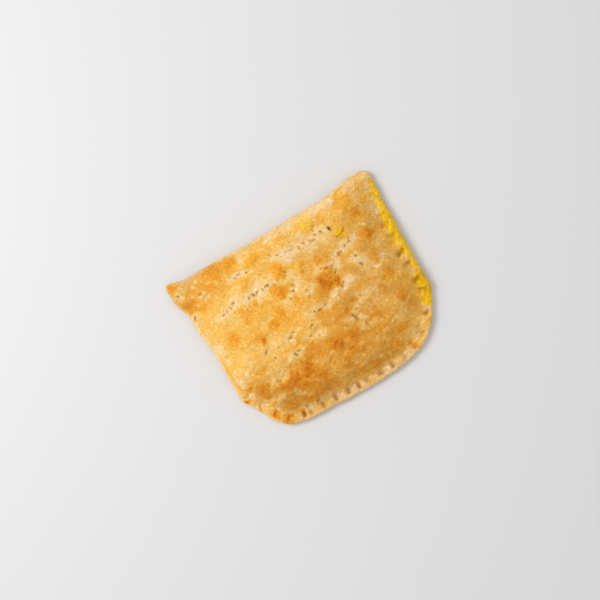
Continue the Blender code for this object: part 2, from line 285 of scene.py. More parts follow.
def risen(x, y):
    """How far the dome has risen, 0 at the rim and 1 over the filling: one rise in
    from the open sides times another in from the fold. Each is 1 - (1 - part)^SHOULDER,
    to the power of TOE."""
    u = x / np.where(x > 0.0, right_line(y), left_line(y))
    v = np.clip(-y / FRONT_REACH, 0.0, None)
    power = np.where(x > 0.0, RIGHT_CORNER_SQUARENESS, LEFT_CORNER_SQUARENESS)
    nearness = (np.abs(u) ** power + v**power) ** (1.0 / power)
    from_open = (1.0 - nearness) * (RIGHT_REACH + LEFT_REACH) / 2.0
    from_fold = fold_line(x) - y
    open_rim = mixed(x, np.minimum(y, 0.0), RIM_WIDTH)
    open_rise = mixed(x, np.minimum(y, 0.0), RISE_LENGTH)
    total = 1.0
    for away, rim, rise in (
        (from_open, open_rim, open_rise),
        (from_fold, RIM_WIDTH[0], RISE_LENGTH[0]),
    ):
        part = np.clip((away - rim) / rise, 0.0, 1.0)
        total = total * (1.0 - (1.0 - part) ** RISE_SHOULDER) ** RISE_TOE
    return total


def pinched(x, y, values):
    """A height that is given for the fold, front, right and left, at each place, less
    where the two back corners are pressed thin."""
    corner = ramp(np.abs(x), PINCH_ACROSS) * ramp(y, PINCH_ALONG)
    return mixed(x, y, values) * (1.0 - PINCH * corner)


# The fork marks: a fork's tines pressed the open edge shut, from the back right corner
# round to the left corner, and left narrow troughs with pale ridges between. Each is
# (length along the open edge from the back right corner, depth).
FORK_MARKS = (
    (14.2, 0.8),
    (24.7, 0.7),
    (31.5, 0.8),
    (39.2, 1.0),
    (47.0, 1.7),
    (55.7, 1.2),
    (64.7, 1.3),
    (74.8, 1.2),
    (87.0, 1.6),
    (99.0, 1.0),
    (109.6, 0.9),
    (118.5, 0.9),
    (127.2, 1.4),
    (134.8, 1.1),
    (142.6, 1.0),
    (149.2, 1.6),
    (156.2, 1.4),
    (163.7, 1.4),
    (170.7, 1.1),
    (178.3, 1.2),
    (184.4, 1.5),
    (194.2, 1.0),
    (202.5, 1.1),
    (213.0, 0.9),
    (222.8, 0.7),
)
MARK_HALF_WIDTH = 1.3
MARK_START = (1.0, 1.5, 2.3, 1.6)
MARK_LENGTH = (5.0, 5.6, 7.6, 5.4)
MARK_FADE_IN = 1.6
MARK_FADE_OUT = 2.8
MARK_SLANT = 0.18
MARK_SLANTS = (-1.0, 2.0)
MARK_WIDTHS = (0.85, 1.25)
MARK_SEED = 11


def crimps(x, y, gap, place):
    """How deep the fork marks press at each point: a row of narrow troughs across the
    edge, each a bell in the length along the edge, within the rim's width."""
    draw = np.random.default_rng(MARK_SEED)
    pressed = np.zeros_like(gap)
    inward = gap - mixed(x, y, MARK_START)
    within = ramp(inward, (0.0, MARK_FADE_IN))
    within = within * smooth((mixed(x, y, MARK_LENGTH) - inward) / MARK_FADE_OUT)
    for centre, depth in FORK_MARKS:
        at = centre + MARK_SLANT * draw.uniform(*MARK_SLANTS) * gap
        width = MARK_HALF_WIDTH * draw.uniform(*MARK_WIDTHS)
        pressed += depth * within * bell((place - at) / width)
    return pressed


# The blisters: steam lifted the crust in low mounds, and their tops browned first. The
# solid has the larger ones, each (x, y, radius). The flat brown spots on and between
# them are (x, y, radius, how brown), and the pale ones (x, y, radius).
BLISTERS = (
    (15.1, 10.1, 6.2),
    (-5.9, 27.1, 5.2),
    (-10.4, 17.1, 4.6),
    (-15.4, 39.0, 4.4),
    (-16.4, 6.6, 4.2),
    (-44.9, 8.1, 3.4),
    (-21.4, 3.1, 2.8),
    (45.6, 21.6, 4.4),
    (46.1, 34.1, 3.4),
    (2.6, -22.9, 3.6),
    (13.6, -22.4, 3.0),
    (-23.4, -26.9, 5.0),
    (-31.0, -29.0, 3.4),
    (-42.4, -22.9, 3.0),
    (46.6, -17.9, 3.2),
    (39.1, -7.9, 3.0),
    (45.1, -3.0, 3.0),
    (-37.4, 44.0, 4.0),
)
BLISTER_HEIGHT = 0.13
WANDER = 0.9
WANDER_LENGTHS = (6.0, 13.0)
WANDER_SEEDS = (21, 22)
SPOT_FLATNESS = 5
BROWN_SPOTS = (
    (11.8, 10.2, 3.4, 0.54),
    (14.5, 8.6, 2.6, 0.50),
    (19.6, 7.2, 2.6, 0.52),
    (17.2, 5.4, 1.8, 0.46),
    (16.4, 13.4, 2.0, 0.40),
    (20.2, 10.4, 1.6, 0.42),
    (15.1, 10.1, 6.8, 0.34),
    (-5.9, 27.1, 5.2, 0.36),
    (-4.9, 25.6, 3.2, 0.42),
    (-10.4, 17.1, 4.8, 0.36),
    (-10.2, 15.6, 3.4, 0.42),
    (-15.4, 39.2, 4.4, 0.32),
    (-31.4, -1.9, 2.0, 0.50),
    (-44.9, 8.1, 3.6, 0.36),
    (-16.4, 6.6, 4.2, 0.30),
    (-21.4, 3.1, 3.0, 0.38),
    (0.1, 6.6, 2.4, 0.36),
    (-3.4, 7.6, 3.0, 0.26),
    (-25.4, 17.1, 1.8, 0.36),
    (-32.4, 18.1, 3.2, 0.20),
    (16.1, 21.6, 2.6, 0.36),
    (7.1, 23.6, 2.0, 0.30),
    (5.6, 20.6, 1.6, 0.28),
    (45.6, 21.6, 4.2, 0.42),
    (46.1, 34.1, 3.4, 0.30),
    (43.1, 42.1, 6.0, 0.20),
    (2.6, -22.9, 4.0, 0.46),
    (13.6, -21.9, 3.4, 0.44),
    (8.6, -28.1, 2.2, 0.44),
    (12.6, -25.1, 2.4, 0.34),
    (-17.4, -27.1, 5.0, 0.46),
    (-26.4, -27.6, 4.8, 0.46),
    (-33.4, -29.1, 3.4, 0.34),
    (-24.0, -33.0, 3.6, 0.40),
    (-13.0, -32.5, 3.4, 0.36),
    (-43.4, -23.9, 3.4, 0.38),
    (-45.4, -27.4, 3.0, 0.32),
    (-50.4, -20.4, 2.6, 0.38),
    (-56.6, -25.6, 1.8, 0.50),
    (-37.9, -13.9, 1.6, 0.34),
    (-36.4, 45.1, 5.6, 0.32),
    (-27.4, 44.1, 4.6, 0.30),
    (-43.4, 38.6, 3.2, 0.28),
    (-56.4, 34.1, 4.6, 0.26),
    (-61.4, 48.1, 4.0, 0.30),
    (46.6, -17.9, 3.2, 0.34),
    (17.1, -9.9, 2.2, 0.40),
    (21.6, -6.9, 2.6, 0.26),
    (30.1, -15.9, 2.0, 0.28),
    (45.1, -3.4, 2.8, 0.32),
    (39.1, -7.9, 2.4, 0.26),
    (45.1, 6.6, 2.2, 0.28),
    (29.6, -38.4, 3.0, 0.28),
    (36.1, -32.4, 2.6, 0.28),
    (38.6, -44.4, 2.4, 0.30),
    (15.6, -42.9, 2.8, 0.32),
    (7.1, -42.4, 2.6, 0.26),
    (-11.4, -35.9, 3.2, 0.22),
    (-19.4, -36.9, 3.0, 0.24),
    (-20.9, -42.9, 2.6, 0.32),
    (-26.4, -41.9, 2.4, 0.26),
    (-34.4, -36.9, 3.2, 0.22),
    (-41.4, -46.4, 3.4, 0.32),
    (-33.0, -46.8, 1.9, 0.38),
    (-46.2, -40.8, 2.2, 0.40),
    (-50.8, -33.6, 1.6, 0.36),
)
PALE_SPOTS = (
    (-55.5, 37.5, 1.5),
    (-58.5, 41.2, 1.2),
    (-53.0, 32.6, 1.4),
    (-47.5, 44.2, 1.2),
    (-41.5, 40.5, 1.2),
    (-56.8, 46.2, 1.1),
    (-52.6, 37.4, 1.0),
    (-38.6, -32.9, 2.0),
    (-30.6, -33.4, 1.7),
    (-47.4, -30.6, 1.5),
    (-55.4, 7.1, 2.8),
    (-50.4, 41.6, 1.5),
    (-20.9, 42.1, 1.5),
    (-25.9, 36.6, 1.8),
    (-45.9, 33.6, 1.6),
    (-18.4, 27.1, 1.8),
    (2.6, 31.3, 2.4),
    (13.6, 38.1, 2.0),
    (36.6, 46.1, 2.6),
    (27.6, 44.6, 1.8),
    (-54.4, -2.4, 2.4),
    (-53.4, -15.9, 2.2),
    (-49.4, -13.9, 1.8),
    (-17.9, -17.7, 1.4),
    (-17.4, -8.9, 1.6),
    (8.6, -2.9, 1.6),
    (-52.9, -25.4, 2.0),
    (-49.9, -32.9, 1.8),
    (-43.4, -37.9, 1.8),
    (46.6, 6.1, 1.8),
)


def wandered(x, y):
    """The plan with every point moved a little by two random fields, so that what is
    drawn round on it comes out uneven."""
    across = WANDER * waves(x, y, WANDER_LENGTHS, WANDER_SEEDS[0])
    along = WANDER * waves(x, y, WANDER_LENGTHS, WANDER_SEEDS[1])
    return x + across, y + along


def blisters(x, y):
    """Low mounds where steam has lifted the crust: (1 - r^2)^2 within each radius."""
    x, y = wandered(x, y)
    lifted = np.zeros_like(x)
    for centre_x, centre_y, radius in BLISTERS:
        away = np.hypot(x - centre_x, y - centre_y) / radius
        lifted += BLISTER_HEIGHT * radius * np.clip(1.0 - away**2, 0.0, None) ** 2
    return lifted


def spotted(x, y, spots):
    """The deepest of many spots at each point: each a bell with a flat top, which falls
    off with the distance to the power of SPOT_FLATNESS."""
    deepest = np.zeros_like(x)
    for centre_x, centre_y, radius, depth in spots:
        away = np.hypot(x - centre_x, y - centre_y) / radius
        deepest = np.maximum(deepest, depth * np.exp(-(away**SPOT_FLATNESS)))
    return deepest


# The pricks: before baking the dough was docked with a fork in short rows, to let steam
# out. Each hole is a pit, darkened with painted shade, in a pale, dry, finely cracked
# patch. A row is its first and last hole and how many it has.
PRICK_ROWS = (
    (-28.6, 36.1, -20.8, 35.6, 3),
    (-43.0, 21.1, -38.0, 22.4, 3),
    (-35.2, 24.9, -35.2, 24.9, 1),
    (-26.4, 22.7, -13.7, 23.3, 6),
    (-10.7, 22.1, -4.4, 23.1, 3),
    (-1.4, 34.9, 9.6, 32.9, 4),
    (12.6, 33.2, 18.6, 32.4, 4),
    (21.4, 34.6, 25.1, 34.4, 2),
    (-2.1, 17.1, -6.4, 10.6, 3),
    (15.1, 16.4, 21.6, 15.1, 3),
    (26.9, 19.1, 36.4, 22.4, 5),
    (34.3, 13.1, 34.4, 8.6, 2),
    (21.1, 11.7, 21.1, 11.7, 1),
    (3.4, 11.1, 3.2, 6.9, 2),
    (1.1, -1.9, 7.6, -0.9, 4),
    (16.7, 0.1, 22.6, 4.4, 5),
    (-18.2, -7.6, -14.9, -5.6, 3),
    (-25.9, -9.2, -25.9, -9.2, 1),
    (-30.4, -12.9, -30.4, -12.9, 1),
    (-33.1, -7.4, -33.1, -7.4, 1),
    (-6.2, -8.4, -4.4, -7.7, 2),
    (-8.1, -11.4, -3.7, -13.9, 2),
    (26.1, -6.4, 21.6, -11.2, 2),
    (17.4, -14.4, 19.3, -17.2, 3),
    (21.6, -20.6, 22.3, -21.9, 2),
    (-20.4, -16.9, -18.2, -16.1, 2),
    (-31.6, -20.1, -31.6, -20.1, 1),
    (-36.1, -24.1, -34.4, -24.4, 2),
    (-26.4, -35.9, -26.4, -35.9, 1),
    (-29.7, -44.1, -22.4, -44.9, 2),
    (-60.4, 42.6, -60.4, 42.6, 1),
    (-57.7, 27.1, -57.7, 27.1, 1),
    (-47.9, 38.1, -47.9, 38.1, 1),
)
PRICK_JITTER = (0.9, 0.6)
PRICK_SEED = 31
PRICK_RADIUS = (0.32, 0.62)
PRICK_STRETCH = (1.1, 2.4)
PRICK_STRENGTH = (0.45, 1.0)
PRICK_DEPTH = 0.6
SPLINTER_AWAY = (0.8, 1.7)
SPLINTER_SHARE = 0.6
SPLINTER_FLATNESS = 0.5
SPLINTER_TURN = 1.0
BIG_PRICK = (29.6, 33.6, 0.66, 1.8, 1.9, 1.6)
HALO_SEED = 32
HALO_RADIUS = (1.3, 2.6)
HALO_STRENGTH = (0.3, 1.0)
BAND_WIDTH = (1.8, 2.9)
BAND_STRENGTH = (0.7, 1.0)
BAND_OVERHANG = 3.0
SHORTEST_RUN = 1e-9


def prick_places():
    """Each hole as (x, y, radius, stretch, heading, strength): even steps along each
    row, each moved, stretched and turned at random, and a smaller one torn beside it."""
    draw = np.random.default_rng(PRICK_SEED)
    holes = []
    for first_x, first_y, last_x, last_y, count in PRICK_ROWS:
        for share in np.linspace(0.0, 1.0, count):
            x = first_x + (last_x - first_x) * share
            x += PRICK_JITTER[0] * draw.uniform(-1.0, 1.0)
            y = first_y + (last_y - first_y) * share
            y += PRICK_JITTER[1] * draw.uniform(-1.0, 1.0)
            radius = draw.uniform(*PRICK_RADIUS)
            stretch = draw.uniform(*PRICK_STRETCH)
            heading = draw.uniform(0.0, np.pi)
            strength = draw.uniform(*PRICK_STRENGTH)
            holes.append((x, y, radius, stretch, heading, strength))
            away = draw.uniform(*SPLINTER_AWAY)
            x += away * np.cos(heading)
            y += SPLINTER_FLATNESS * away * np.sin(heading)
            radius *= SPLINTER_SHARE
            strength *= SPLINTER_SHARE
            holes.append((x, y, radius, stretch, heading + SPLINTER_TURN, strength))
    return holes + [BIG_PRICK]


holes = prick_places()


def from_line(x, y, start, end):
    """How far each point is from the straight line between two points."""
    run = np.subtract(end, start)
    share = (x - start[0]) * run[0] + (y - start[1]) * run[1]
    share = np.clip(share / max((run**2).sum(), SHORTEST_RUN), 0.0, 1.0)
    return np.hypot(x - start[0] - share * run[0], y - start[1] - share * run[1])


def pricked(x, y):
    """How much of each point is pit, and how much is the pale patch round one: the
    highest of the bells round the holes, oval for a pit and ragged for a patch, and of
    those along the rows."""
    pit = np.zeros_like(x)
    halo = np.zeros_like(x)
    ragged_x, ragged_y = wandered(x, y)
    draw = np.random.default_rng(HALO_SEED)
    for hole_x, hole_y, radius, stretch, heading, strength in holes:
        along = (x - hole_x) * np.cos(heading) + (y - hole_y) * np.sin(heading)
        across = (y - hole_y) * np.cos(heading) - (x - hole_x) * np.sin(heading)
        away = np.hypot(along / stretch, across) / radius
        pit = np.maximum(pit, strength * bell(away))
        away = np.hypot(ragged_x - hole_x, ragged_y - hole_y) / draw.uniform(*HALO_RADIUS)
        halo = np.maximum(halo, draw.uniform(*HALO_STRENGTH) * bell(away))
    for first_x, first_y, last_x, last_y, _ in PRICK_ROWS:
        over = BAND_OVERHANG * np.sign(last_x - first_x)
        start = (first_x - over, first_y)
        end = (last_x + over, last_y)
        away = from_line(ragged_x, ragged_y, start, end) / draw.uniform(*BAND_WIDTH)
        halo = np.maximum(halo, draw.uniform(*BAND_STRENGTH) * bell(away))
    return pit, halo


# The crust's fine surface: thin flakes that lie over each other like worn scales, hair
# cracks in the dry pale patches, and the grain of baked shortcrust.
STREAK = 1.9
FLAKE_LENGTHS = (3.6, 8.0)
FLAKE_SEED = 41
FLAKE_STEPS = 2.6
FLAKE_THICKNESS = 0.07
FLAKE_EDGE = (0.35, 0.65)
GRAIN_LENGTHS = (1.6, 3.6)
GRAIN_SEED = 42
GRAIN_HEIGHT = (0.03, 0.095)
GRAIN_COARSE = (-2.0, -26.0)
GRAIN_RIM_REACH = (9.0, 5.0)
GRAIN_TO_RIGHT = (30.0, 50.0)
GRAIN_FADE = 1.2
BUMP_LENGTHS = (5.0, 10.0)
BUMP_SEED = 43
BUMP_HEIGHT = 0.06
CRACK_LENGTHS = (2.6, 5.5)
CRACK_SEED = 44
CRACK_WIDTH = 0.10
CRACK_DEPTH = 0.16
FINE_COUNT = 30
FINE_FADE = 4.0
CREASE = ((57.6, 50.1), (53.1, 41.6))
CREASE_APART = 1.5
CREASE_SHARES = (0.8, 0.5)
CREASE_WIDTH = 0.32
CREASE_DEPTH = 0.22
CREASE_FADE = 2.0


def blended(values, share):
    """The value that lies a share of the way from the first to the second."""
    return values[0] + (values[1] - values[0]) * share


def flaked(x, y):
    """Which flake each point lies on, in steps, and how near it is to a flake's edge: a
    random field, drawn out along the fold as the dough was rolled, cut into flat steps
    with short slopes s between, like contour lines. The nearness is 4s(1 - s)."""
    x, y = wandered(x, y)
    level = FLAKE_STEPS * waves(x / STREAK, y, FLAKE_LENGTHS, FLAKE_SEED, FINE_COUNT)
    whole = np.floor(level)
    slope = ramp(level - whole, FLAKE_EDGE)
    return whole + slope, 4.0 * slope * (1.0 - slope)


def cracked(x, y):
    """Thin lines where a random field crosses zero: a bell in the field's height."""
    return bell(waves(x, y, CRACK_LENGTHS, CRACK_SEED, FINE_COUNT) / CRACK_WIDTH)


def creased(x, y):
    """Two parallel grooves near the back right corner, from one point to another: bells
    across them, faded at both ends."""
    start, end = np.array(CREASE)
    run = end - start
    length = np.hypot(*run)
    along = ((x - start[0]) * run[0] + (y - start[1]) * run[1]) / length
    across = ((x - start[0]) * run[1] - (y - start[1]) * run[0]) / length
    within = ramp(along, (0.0, CREASE_FADE)) * ramp(along, (length, length - CREASE_FADE))
    first = CREASE_SHARES[0] * bell(across / CREASE_WIDTH)
    second = CREASE_SHARES[1] * bell((across - CREASE_APART) / CREASE_WIDTH)
    return within * np.maximum(first, second)


def fine_relief(x, y, gap):
    """The height that the fine surface adds: flakes, bumps, grain, cracks near the
    pricks, the pits themselves, and the crease."""
    pit, halo = pricked(x, y)
    flakes = FLAKE_THICKNESS * flaked(x, y)[0]
    bumps = BUMP_HEIGHT * waves(x, y, BUMP_LENGTHS, BUMP_SEED, FINE_COUNT)
    right_rim = ramp(gap, GRAIN_RIM_REACH) * ramp(x, GRAIN_TO_RIGHT)
    coarse = np.maximum(ramp(y, GRAIN_COARSE), right_rim)
    rough = blended(GRAIN_HEIGHT, coarse)
    grain = rough * waves(x, y, GRAIN_LENGTHS, GRAIN_SEED, FINE_COUNT)
    grain = grain * smooth(gap / GRAIN_FADE)
    cracks = CRACK_DEPTH * cracked(x, y) * halo
    shallow = grain + (flakes + bumps) * smooth(gap / FINE_FADE)
    return shallow - cracks - PRICK_DEPTH * pit - CREASE_DEPTH * creased(x, y)


def top_height(x, y, gap, place):
    """The crust's upper face: a quarter ellipse up from the seam at the edge, then the
    rise of the dome, its swells, lumps and blisters, less the fork marks."""
    seam = pinched(x, y, SEAM_HEIGHT)
    rim = pinched(x, y, EDGE_HEIGHT)
    inset = np.clip(gap / mixed(x, y, EDGE_ROUNDING), 0.0, 1.0)
    rounded = seam + (rim - seam) * np.sqrt(1.0 - (1.0 - inset) ** 2)
    up = risen(x, y)
    swells = SWELL_HEIGHT * waves(x, y, SWELL_LENGTHS, SWELL_SEED) * up
    lumps = LUMP_HEIGHT * waves(x, y, LUMP_LENGTHS, LUMP_SEED) * smooth(gap / LUMP_FADE)
    relief = swells + lumps + blisters(x, y) - crimps(x, y, gap, place)
    return rounded + (DOME_HEIGHT - rim) * up + relief + fine_relief(x, y, gap)


def under_height(x, y, gap):
    """The underside: flat on z = 0, and a quarter ellipse up to the seam at the edge."""
    inset = np.clip(gap / mixed(x, y, UNDER_ROUNDING), 0.0, 1.0)
    return pinched(x, y, SEAM_HEIGHT) * (1.0 - np.sqrt(1.0 - (1.0 - inset) ** 2))


# The edge: rings of points from the upper face down to the underside. The cut sides show
# the two sheets pressed together, with a groove at the seam and the thin layers of the
# dough in their faces.
RINGS_ABOVE = 7
RINGS_BELOW = 5
TOP_INSET = 1.4
LAYER_HEIGHT = 0.85
LAYER_DEPTH = 0.10
LAYER_WAVER = 2.0
LAYER_WAVER_LENGTHS = (9.0, 20.0)
LAYER_SEED = 51


def edge_wall(points, inward):
    """The rings round the edge, as an array of ring by point. Each follows the two
    quarter ellipses that meet at the seam. Sine waves in height, which waver along the
    edge, are the layers of the dough, and fade as 4s(1 - s) over each ellipse."""
    x, y = points.T
    in_x, in_y = inward.T
    seam = pinched(x, y, SEAM_HEIGHT)
    rise = pinched(x, y, EDGE_HEIGHT) - seam
    over = mixed(x, y, EDGE_ROUNDING)
    under = mixed(x, y, UNDER_ROUNDING)
    top_x = x + in_x * TOP_INSET
    top_y = y + in_y * TOP_INSET
    gap, place = nearest_edge(top_x[None], top_y[None])
    meeting = top_height(top_x, top_y, gap[0], place[0])
    top_turn = np.arccos(1.0 - TOP_INSET / over)
    low_turn = np.arccos(1.0 - TOP_INSET / np.maximum(under, TOP_INSET))
    spare = meeting - seam - rise * np.sin(top_turn)
    groove_depth = mixed(x, y, SEAM_GROOVE_DEPTH)
    waver = waves(x, y, LAYER_WAVER_LENGTHS, LAYER_SEED)
    rings = []
    for step in range(RINGS_ABOVE + RINGS_BELOW + 1):
        if step <= RINGS_ABOVE:
            share = 1.0 - step / RINGS_ABOVE
            inset = over * (1.0 - np.cos(top_turn * share))
            z = seam + rise * np.sin(top_turn * share) + spare * share
        else:
            share = (step - RINGS_ABOVE) / RINGS_BELOW
            inset = under * (1.0 - np.cos(low_turn * share))
            z = seam * (1.0 - np.sin(low_turn * share))
        groove = bell((z - seam) / SEAM_GROOVE_HEIGHT)
        phase = 2.0 * np.pi * z / LAYER_HEIGHT + LAYER_WAVER * waver
        layers = LAYER_DEPTH * np.sin(phase) ** 2
        inset = inset + groove_depth * groove + layers * share * (1.0 - share) * 4.0
        rings.append(np.stack([x + in_x * inset, y + in_y * inset, z], axis=-1))
    return np.array(rings)


# The colour of the bake. Pale dough takes two stains: gold, from turmeric and fat, which
# takes out blue, and toast, from the oven's heat, which darkens it toward brown. Each is
# the share of light left after one full dose. Every colour is in linear light.
PALE_DOUGH = (0.9215819, 0.6795425, 0.381326)
GOLD_LEAVES = (0.93, 0.49, 0.050)
TOAST_LEAVES = (0.37, 0.22, 0.105)
RAW_YELLOW = (1.0, 0.6104956, 0.002428216)
# The pits' toast is partly browning and partly painted shade, and PIT_SHADE and MARK_SHADE
# darken the pits and the fork marks with painted shade.
PIT_TOAST_AND_SHADE = 0.45
PIT_GOLD = 0.3
PIT_SHADE = 0.52
# Cracks and the crease are darkened with toast: painted shade in their grooves.
CRACK_PAINTED_SHADE = 0.12
CREASE_PAINTED_SHADE = 0.30
MARK_TOAST = 0.10
MARK_GOLD = 0.12
MARK_SHADE = (0.3, 0.38, 0.34, 0.3)
MARK_FULL = 1.5
GOLD_RANGE = (0.05, 1.3)
MIDDLE_GOLD = 0.42
AMBER_GOLD = 0.21
AMBER_LENGTHS = (6.0, 15.0)
AMBER_LEVELS = (-0.6, 1.6)
AMBER_SEED = 85
FRONT_GOLD = 0.16
# The toast toward the front and toward the right is partly browning and partly painted shade,
# on slopes that face away from the lamp.
FRONT_TOAST_AND_SHADE = 0.19
FRONT_ZONE = (-8.0, -24.0)
FRONT_REACH_IN = (4.0, 10.0)
FRONT_TO_RIGHT = (16.0, 42.0)
FRONT_FADES = 0.6
RIGHT_TOAST_AND_SHADE = 0.15
RIGHT_ZONE = (-14.0, 16.0)
RIGHT_REACH_IN = (4.0, 16.0)
BROAD_PATCHES = (
    (7.0, 33.0, 7.0, -0.16, 0.0),
    (17.0, 31.5, 6.0, -0.24, -0.02),
    (-5.0, 35.0, 4.5, -0.12, 0.0),
    (-33.0, 23.0, 4.0, -0.12, 0.0),
    (-20.0, 23.5, 4.0, -0.12, 0.0),
    (-30.0, -15.0, 7.0, -0.21, 0.0),
    (-30.0, 44.0, 8.0, -0.10, 0.0),
    (-45.0, 45.0, 7.0, -0.07, 0.0),
    (30.0, 45.0, 8.0, -0.10, 0.0),
    (-45.0, -15.0, 7.0, -0.08, 0.0),
    (-15.0, -15.0, 9.0, 0.21, 0.06),
    (1.0, -14.0, 9.0, 0.10, 0.04),
    (-60.0, 31.0, 7.0, 0.12, 0.0),
    (-36.0, -45.0, 9.0, -0.20, 0.11),
    (-50.0, -29.0, 8.0, -0.10, 0.02),
    (-56.0, 38.0, 9.0, 0.0, 0.09),
    (-14.0, -45.0, 8.0, 0.0, 0.07),
    (-14.0, -30.0, 8.0, -0.16, -0.02),
    (45.0, 15.0, 8.0, -0.08, -0.04),
    (44.0, 45.0, 8.0, -0.08, 0.0),
    (-24.0, -16.0, 8.0, -0.06, -0.02),
    (15.0, -31.0, 8.0, -0.12, 0.03),
    (39.0, -14.0, 13.0, -0.08, 0.03),
    (30.0, 30.0, 7.0, -0.08, 0.0),
    (-15.0, 15.0, 7.0, -0.07, 0.0),
    # Painted light: this patch lightens the front right slope, which faces away from the lamp.
    (46.0, -30.0, 11.0, -0.23, -0.11),
    (54.0, -39.0, 7.0, 0.22, 0.16),
    (11.0, 0.0, 12.0, 0.16, 0.05),
    (-8.0, -14.0, 9.0, 0.06, 0.02),
    (22.0, -15.0, 12.0, 0.0, 0.11),
    (1.0, 30.0, 8.0, -0.26, -0.02),
    (-29.0, -39.0, 9.0, -0.08, 0.09),
    (-36.0, 3.0, 9.0, 0.05, 0.03),
)
BACK_LEFT_GOLD = 0.16
BACK_LEFT_TOAST = 0.10
BACK_LEFT_ACROSS = (-16.0, -44.0)
BACK_LEFT_ALONG = (24.0, 38.0)
# The rim is paler than the dome: less baked dough, and at the fold and the left also painted
# light, where those edges face the lamp.
RIM_GOLD_AND_LIGHT = (-0.26, -0.32, -0.12, -0.20)
RIM_TOAST = (0.05, 0.13, 0.05, 0.03)
RIM_FROM_LEFT = (-34.0, -18.0)
RIM_TO_RIGHT = (46.0, 34.0)
RIM_TO_FOLD = (-10.0, 10.0)
RIM_LEAST = 0.3
RIM_REACH = (8.5, 4.0)
RIM_WAVER = 1.4
RIM_LENGTHS = (4.0, 11.0)
RIM_SEED = 83
HALO_PALER = (0.90, 0.70)
HALO_TO_FRONT = (4.0, -8.0)
HALO_CLEAN = 0.7
SPOT_GOLD = 1.5
SPOT_TOAST = 0.24
SPOT_TOASTED = (0.30, 0.62)
SPOT_UNEVEN = 0.16
SPOT_CALM = 2.3
SPOT_REACH = (-0.3, 0.9)
SPOT_LENGTHS = (2.0, 5.0)
SPOT_SEED = 82
SPOT_PALER = 0.78
FLAKE_GOLD = -0.07
GOLD_BAKE = 0.5
UNDER_TOAST = 0.42
UNDER_UNEVEN = 2.0
GOLD_WAVES = (
    ((16.0, 40.0), 61, 0.060),
    ((7.0, 16.0), 62, 0.074),
    ((3.2, 6.5), 63, 0.052),
    ((1.7, 3.2), 64, 0.034),
)
TOAST_WAVES = (
    ((5.0, 12.0), 72, 0.032),
    ((1.6, 4.0), 73, 0.030),
)
LIVELY = (0.8, 1.35)
LIVELY_TO_RIGHT = (10.0, 45.0)
FLECK_LENGTHS = (2.4, 6.0)
FLECK_SEED = 81
FLECK_LEVELS = (0.7, 1.7)
FLECK_FRONT = 0.30
FLECK_TO_FRONT = (0.0, -20.0)
FLECK_PALER = 0.30
# The outer lip is paler: pale dough, and a painted glow of light through the thin edge.
LIP_PALER_AND_GLOW = 0.75
LIP_REACH = (2.2, 0.8)
YELLOW_PLACES = (-33.0, -27.0, -12.0, -8.0, -1.0, 4.0, 10.0, 25.0, 35.0, 46.0, 53.0)
YELLOW_WIDTHS = (-3.0, 6.6, 6.6, 3.2, 2.6, 5.2, 6.0, 5.6, 4.0, 3.2, -1.5)
YELLOW_ENDS = ((-34.0, -27.0), (53.0, 44.0))
YELLOW_TO_RIGHT = (42.0, 52.0)
YELLOW_UNEVEN = 0.10
YELLOW_LEAST = 0.87
YELLOW_SOFT = 1.1
YELLOW_AT_MARK = 1.6
YELLOW_WAVER = 0.9
YELLOW_WAVER_LENGTHS = (2.5, 6.0)
YELLOW_WAVER_SEED = 84
YELLOW_WAVER_REACH = (0.0, 1.8)
YELLOW_TOAST = 0.16
YELLOW_TO_FRONT = (-4.0, -14.0)
YELLOW_SPOTS = (
    (33.8, 28.6, 2.9, 0.92),
    (2.1, 25.6, 1.9, 0.80),
    (18.6, 43.6, 4.4, 0.45),
)
SPLIT = (((31.2, 27.6), (35.6, 28.5)), ((34.4, 28.2), (36.6, 30.1)))
SPLIT_WIDTH = 0.36
SPLIT_TOAST = 0.62


def stained(gold, toast):
    """The linear colour of dough with given doses of the two stains: each leaves its
    share of light to the power of the dose."""
    gilded = np.array(GOLD_LEAVES) ** gold[..., None]
    return np.array(PALE_DOUGH) * gilded * np.array(TOAST_LEAVES) ** toast[..., None]


def layered(x, y, fields):
    """The sum of random fields, each given as its lengths, seed and height, drawn out
    along the fold as the dough was rolled."""
    total = np.zeros_like(x)
    for lengths, seed, height in fields:
        total += height * waves(x / STREAK, y, lengths, seed, FINE_COUNT)
    return total


def split_open(x, y):
    """The short forked crack where yellow shows: the higher of the bells round its
    lines."""
    away = [from_line(x, y, start, end) for start, end in SPLIT]
    return bell(np.minimum(*away) / SPLIT_WIDTH)


def broad_stains(x, y):
    """The gold and the toast that the broad patches add or take, where the oven baked
    the crust more or less, and at the front right corner as painted light: a bell round
    each (x, y, radius, gold, toast)."""
    gold = np.zeros_like(x)
    toast = np.zeros_like(x)
    for centre_x, centre_y, radius, more_gold, more_toast in BROAD_PATCHES:
        share = bell(np.hypot(x - centre_x, y - centre_y) / radius)
        gold += more_gold * share
        toast += more_toast * share
    return gold, toast


def rim_zone(x, y, gap):
    """How much each point belongs to the rim: 1 at the edge, and 0 inside a line that
    wavers. It is weaker at the two front corners, which browned like the rest."""
    waver = RIM_WAVER * waves(x, y, RIM_LENGTHS, RIM_SEED, FINE_COUNT)
    between = ramp(x, RIM_FROM_LEFT) * ramp(x, RIM_TO_RIGHT)
    full = np.maximum(RIM_LEAST + (1.0 - RIM_LEAST) * between, ramp(y, RIM_TO_FOLD))
    return ramp(gap + waver, RIM_REACH) * full


def browned(x, y, gap):
    """How brown the spots are at each point: uneven, and faded out over the edge."""
    uneven = 1.0 + SPOT_UNEVEN * waves(x, y, SPOT_LENGTHS, SPOT_SEED, FINE_COUNT)
    return spotted(*wandered(x, y), BROWN_SPOTS) * uneven * ramp(gap, SPOT_REACH)


